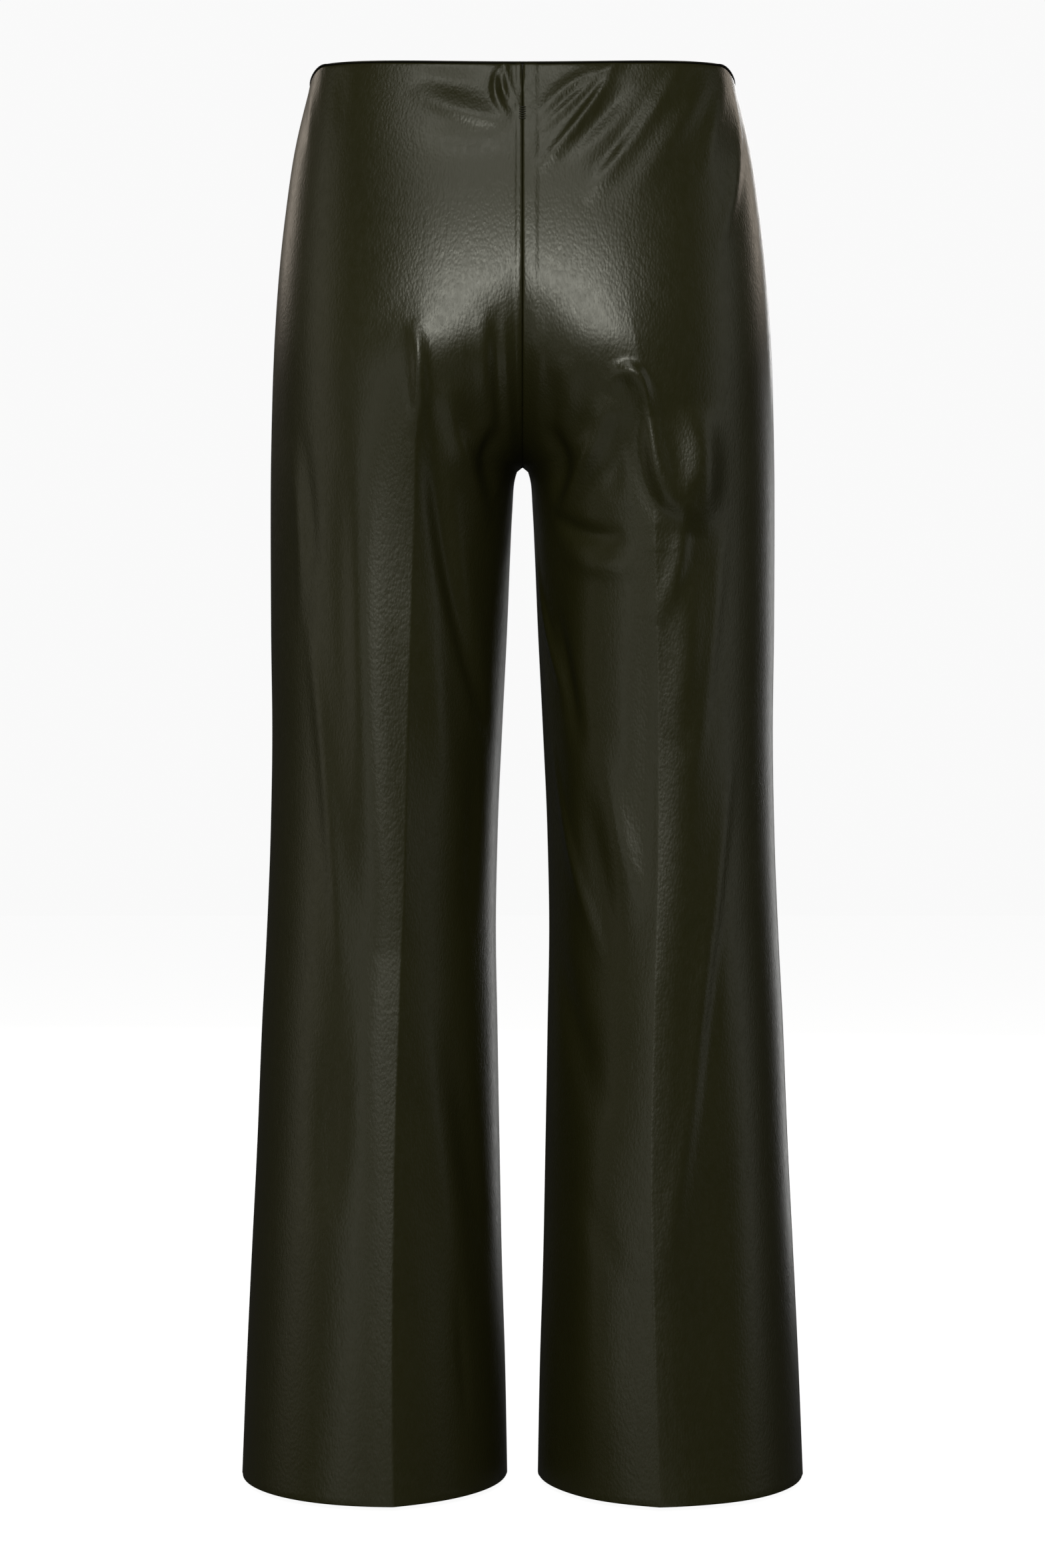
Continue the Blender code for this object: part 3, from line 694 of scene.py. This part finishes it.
def tape_row(height, inside):
    """Points of the tape once round the waist, from the wearer's right side."""
    row = []
    for back in (True, False):
        ring = LegRing(height, back)
        quarter = np.linspace(0.0, ring.angle_at_x(0.0), TAPE_QUARTER)
        x, y = ring.point(quarter)
        out_x, out_y = ring.outward(quarter)
        x = x - out_x * inside
        y = y - out_y * inside
        x[-1] = 0.0
        half = np.concatenate([x, -x[-2::-1]])
        level = np.concatenate([y, y[-2::-1]])
        lifted = height + edge_lift(half, height)
        way = 1 if back else -1
        row += list(zip(way * half, level, lifted))
    return np.array(row)


# Ribbed elastic tape: matt, nearly black, with ribs that run round the waist, and painted
# lighter along the ribs' tops as a highlight. They are 1.6 mm apart on real tape and are drawn
# 3 mm apart here, because finer ones would not show. Blender's bands are pi / (10 * Scale)
# apart.
TAPE_RIB = 3.0 * MM
TAPE_RIB_DEPTH = 0.4 * MM
TAPE_COLOUR = "#1d1c12"
TAPE_PAINTED_HIGHLIGHT_ON_RIBS = "#302f20"


def elastic_face():
    finish, tree, shader = new_finish("ribbed_elastic_tape")
    place = add_node(tree, "ShaderNodeTexCoord").outputs["Object"]
    ribs = add_node(
        tree,
        "ShaderNodeTexWave",
        {
            "wave_type": "BANDS",
            "bands_direction": "Z",
            "Scale": np.pi / (10 * TAPE_RIB),
            "Distortion": 0.3,
        },
        {"Vector": place},
    )
    # The bands that raise the ribs also mix the colour, so the rib tops get a painted
    # highlight.
    tone = add_node(
        tree, "ShaderNodeMix", {"data_type": "RGBA"}, {"Factor": ribs.outputs["Fac"]}
    )
    tone.inputs[MIX_LOW].default_value = linear(TAPE_COLOUR)
    tone.inputs[MIX_HIGH].default_value = linear(TAPE_PAINTED_HIGHLIGHT_ON_RIBS)
    tree.links.new(tone.outputs[MIXED], shader.inputs["Base Color"])
    raised = add_node(
        tree,
        "ShaderNodeBump",
        {"Strength": 0.7, "Distance": TAPE_RIB_DEPTH},
        {"Height": ribs.outputs["Fac"]},
    )
    tree.links.new(raised.outputs["Normal"], shader.inputs["Normal"])
    shader.inputs["Roughness"].default_value = 0.85
    return finish


cloth = laid_cloth(np.array([tape_row(z, inside) for z, inside in tape_profile()]))
bmesh.ops.remove_doubles(cloth, verts=cloth.verts, dist=WELD)
mesh = bpy.data.meshes.new("waist_tape")
cloth.to_mesh(mesh)
cloth.free()
mesh.shade_smooth()
mesh.materials.append(elastic_face())
tape = bpy.data.objects.new("waist_tape", mesh)
bpy.context.scene.collection.objects.link(tape)
wall = tape.modifiers.new("tape", "SOLIDIFY")
wall.thickness = TAPE
wall.offset = -1.0
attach(tape, "root")
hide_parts("waist_facing")

# ---------------------------------------------------------------------------------------
# The tack. A few hand stitches of dark thread across the centre back seam, which hold
# the lower edge of the elastic to the seam allowances.
# ---------------------------------------------------------------------------------------
TACK_TOP_Z = WAIST_EDGE_Z - 34 * MM
TACK_BOTTOM_Z = WAIST_EDGE_Z - 42 * MM
TACK_STITCHES = 6
TACK_WIDTH = 4.2 * MM
THREAD = 0.7 * MM
THREAD_SIDES = 6
STITCH_STEPS = 6

# Spun polyester thread: matt and slightly hairy, dyed like the coating, and lighter on
# its twists, which are 0.4 mm apart.
TWIST = 0.4 * MM
THREAD_COLOUR = "#17170e"
THREAD_COLOUR_ON_TWISTS = "#33321f"


def thread_face():
    finish, tree, shader = new_finish("spun_polyester_thread")
    place = add_node(tree, "ShaderNodeTexCoord").outputs["Object"]
    twist = add_node(
        tree, "ShaderNodeTexNoise", {"Scale": 1 / TWIST, "Detail": 1.0}, {"Vector": place}
    )
    tone = add_node(
        tree, "ShaderNodeMix", {"data_type": "RGBA"}, {"Factor": twist.outputs["Fac"]}
    )
    tone.inputs[MIX_LOW].default_value = linear(THREAD_COLOUR)
    tone.inputs[MIX_HIGH].default_value = linear(THREAD_COLOUR_ON_TWISTS)
    tree.links.new(tone.outputs[MIXED], shader.inputs["Base Color"])
    shader.inputs["Roughness"].default_value = 0.8
    return finish


def stitch_tree(material):
    """Stitches in a row: each one lies level and bows outwards, and the row runs from
    start to end."""
    tree = bpy.data.node_groups.new("stitch_row", "GeometryNodeTree")
    sockets = {}
    for name, kind, value in (
        ("Start", "NodeSocketVector", (0.0, 0.0, 0.0)),
        ("End", "NodeSocketVector", (0.0, 0.0, 0.0)),
        ("Stitches", "NodeSocketInt", 1),
        ("Stitch width", "NodeSocketFloat", 0.0),
        ("Thread radius", "NodeSocketFloat", 0.0),
    ):
        socket = tree.interface.new_socket(name, in_out="INPUT", socket_type=kind)
        socket.default_value = value
        sockets[name] = socket.identifier
    tree.interface.new_socket("Geometry", in_out="OUTPUT", socket_type="NodeSocketGeometry")
    given = tree.nodes.new("NodeGroupInput").outputs
    row = add_node(
        tree,
        "GeometryNodeMeshLine",
        {"mode": "END_POINTS"},
        {"Count": given["Stitches"], "Start Location": given["Start"], "Offset": given["End"]},
    )
    across = add_node(tree, "ShaderNodeCombineXYZ", {}, {"X": given["Stitch width"]})
    inwards = add_node(tree, "ShaderNodeCombineXYZ", {}, {"Y": given["Thread radius"]})
    left, right, raised = (
        add_node(
            tree,
            "ShaderNodeVectorMath",
            {"operation": "SCALE", "Scale": share},
            {"Vector": whole.outputs["Vector"]},
        ).outputs["Vector"]
        for whole, share in ((across, -0.5), (across, 0.5), (inwards, -2.0))
    )
    arc = add_node(
        tree,
        "GeometryNodeCurveQuadraticBezier",
        {"Resolution": STITCH_STEPS},
        {"Start": left, "Middle": raised, "End": right},
    )
    round_thread = add_node(
        tree,
        "GeometryNodeCurvePrimitiveCircle",
        {"Resolution": THREAD_SIDES},
        {"Radius": given["Thread radius"]},
    )
    stitch = add_node(
        tree,
        "GeometryNodeCurveToMesh",
        {"Fill Caps": True},
        {"Curve": arc.outputs[0], "Profile Curve": round_thread.outputs[0]},
    )
    placed = add_node(
        tree,
        "GeometryNodeInstanceOnPoints",
        {},
        {"Points": row.outputs[0], "Instance": stitch.outputs[0]},
    )
    real = add_node(
        tree, "GeometryNodeRealizeInstances", {}, {"Geometry": placed.outputs[0]}
    )
    dyed = add_node(
        tree, "GeometryNodeSetMaterial", {"Material": material}, {"Geometry": real.outputs[0]}
    )
    ending = tree.nodes.new("NodeGroupOutput")
    tree.links.new(dyed.outputs[0], ending.inputs[0])
    return tree, sockets


def seam_place(height):
    """The centre back seam at a height, on the level of the cloth beside it."""
    ring = LegRing(height, True)
    return 0.0, float(ring.point(ring.angle_at_x(0.0))[1]), height


tree, sockets = stitch_tree(thread_face())
holder = bpy.data.objects.new("tack_holder", bpy.data.meshes.new("tack_holder"))
bpy.context.scene.collection.objects.link(holder)
row = holder.modifiers.new("stitches", "NODES")
row.node_group = tree
row[sockets["Start"]] = seam_place(TACK_TOP_Z)
row[sockets["End"]] = seam_place(TACK_BOTTOM_Z)
row[sockets["Stitches"]] = TACK_STITCHES
row[sockets["Stitch width"]] = TACK_WIDTH
row[sockets["Thread radius"]] = THREAD / 2
stitched = bpy.data.meshes.new_from_object(
    holder.evaluated_get(bpy.context.evaluated_depsgraph_get())
)
bpy.data.objects.remove(holder)
tack = bpy.data.objects.new("centre_seam_tack", stitched)
bpy.context.scene.collection.objects.link(tack)
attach(tack, "root")

# ---------------------------------------------------------------------------------------
# The studio. A floor of matt paper, lit as bright as the white behind it, with soft boxes
# round the trousers. The camera stands behind them, level with the thighs, and looks
# slightly down.
# ---------------------------------------------------------------------------------------
FLOOR_Z = HEM_Z - 4 * MM
FLOOR_REACH = 6.0
PAPER_GLOW = 0.945
WHITE_BEHIND = 0.95
FILL = 0.025
WHITE = (1.0, 1.0, 1.0, 1.0)

floor_mesh = bpy.data.meshes.new("studio_floor")
floor_shape = bmesh.new()
bmesh.ops.create_grid(floor_shape, x_segments=1, y_segments=1, size=FLOOR_REACH)
bmesh.ops.translate(floor_shape, verts=floor_shape.verts, vec=(0, 0, FLOOR_Z))
floor_shape.to_mesh(floor_mesh)
floor_shape.free()
floor = bpy.data.objects.new("studio_floor", floor_mesh)
bpy.context.scene.collection.objects.link(floor)
paper, _, paper_shader = new_finish("matt_paper")
paper_shader.inputs["Base Color"].default_value = linear("#a0a09e")
paper_shader.inputs["Roughness"].default_value = 0.9
paper_shader.inputs["Specular IOR Level"].default_value = 0.0
paper_shader.inputs["Emission Color"].default_value = WHITE
paper_shader.inputs["Emission Strength"].default_value = PAPER_GLOW
floor_mesh.materials.append(paper)
floor.visible_glossy = False
floor.visible_diffuse = False
floor.visible_shadow = False

world = bpy.data.worlds.new("studio")
bpy.context.scene.world = world
world.use_nodes = True
sky = world.node_tree
sky.nodes.clear()
seen = add_node(sky, "ShaderNodeBackground", {"Color": WHITE, "Strength": WHITE_BEHIND})
fill = add_node(sky, "ShaderNodeBackground", {"Color": WHITE, "Strength": FILL})
path = add_node(sky, "ShaderNodeLightPath")
mix = add_node(sky, "ShaderNodeMixShader")
sky.links.new(path.outputs["Is Camera Ray"], mix.inputs["Fac"])
sky.links.new(fill.outputs[0], mix.inputs[1])
sky.links.new(seen.outputs[0], mix.inputs[2])
sky.links.new(mix.outputs[0], add_node(sky, "ShaderNodeOutputWorld").inputs["Surface"])

# Each soft box's place, the height on the upright axis at which it is aimed, its size in
# metres and its power in watts.
Softbox = namedtuple("Softbox", "name x y z aim_z width height power colour")
SOFTBOXES = [
    Softbox("key_above_camera", -0.08, -2.6, 0.38, -0.3, 1.1, 0.65, 29, "#ffffff"),
    Softbox("high_front", -0.2, -2.4, 2.3, -0.1, 2.0, 0.65, 17, "#ffffff"),
    Softbox("low_left", -1.67, -1.99, -0.85, -0.5, 0.8, 1.1, 2.6, "#ffffff"),
    Softbox("front_strip", -0.55, -2.55, -0.6, -0.5, 0.3, 0.8, 1.4, "#ffffff"),
    Softbox("floor_bounce", 0.0, -1.5, -1.8, -0.3, 1.6, 0.8, 1.8, "#ffffff"),
    Softbox("left", -2.6, -0.25, 0.1, -0.4, 1.2, 2.6, 6.0, "#fffaf0"),
    Softbox("right", 2.6, -0.3, 0.1, -0.4, 1.2, 2.6, 5.2, "#ffffff"),
    Softbox("left_rim", -1.7, 2.0, 0.7, -0.3, 0.8, 1.0, 4.6, "#fff0e0"),
    Softbox("right_rim", 1.7, 2.0, 0.7, -0.3, 0.8, 1.0, 4.6, "#fff0e0"),
    Softbox("behind", 0.3, 2.8, 0.5, -0.35, 1.4, 1.0, 30, "#ffffff"),
    Softbox("behind_high", 0.0, 2.4, 2.3, -0.1, 2.0, 0.65, 14, "#ffffff"),
    Softbox("behind_low", 1.3, 2.3, -0.6, -0.5, 0.8, 1.1, 4.0, "#ffffff"),
]
for box in SOFTBOXES:
    light = bpy.data.lights.new(box.name, "AREA")
    light.shape = "RECTANGLE"
    light.size = box.width
    light.size_y = box.height
    light.energy = box.power
    light.color = linear(box.colour)[:3]
    lamp = bpy.data.objects.new(box.name, light)
    bpy.context.scene.collection.objects.link(lamp)
    lamp.location = (box.x, box.y, box.z)
    towards = np.array([-box.x, -box.y, box.aim_z - box.z])
    lamp.rotation_euler = (
        np.arctan2(np.hypot(*towards[:2]), -towards[2]),
        0.0,
        np.arctan2(towards[1], towards[0]) - np.pi / 2,
    )
    lamp.visible_camera = False

CAMERA_DISTANCE = 2.6
CAMERA_Z = -0.39
CAMERA_PITCH_DOWN = np.radians(1.74)
SENSOR_MM = 36.0
LENS_MM = 85.3
camera_data = bpy.data.cameras.new("camera")
camera_data.sensor_fit = "VERTICAL"
camera_data.sensor_height = SENSOR_MM
camera_data.sensor_width = SENSOR_MM
camera_data.lens = LENS_MM
camera = bpy.data.objects.new("camera", camera_data)
bpy.context.scene.collection.objects.link(camera)
camera.location = (0.0, -CAMERA_DISTANCE, CAMERA_Z)
camera.rotation_euler = (np.pi / 2 - CAMERA_PITCH_DOWN, 0.0, 0.0)
bpy.context.scene.camera = camera
bpy.context.scene.view_settings.view_transform = "Standard"
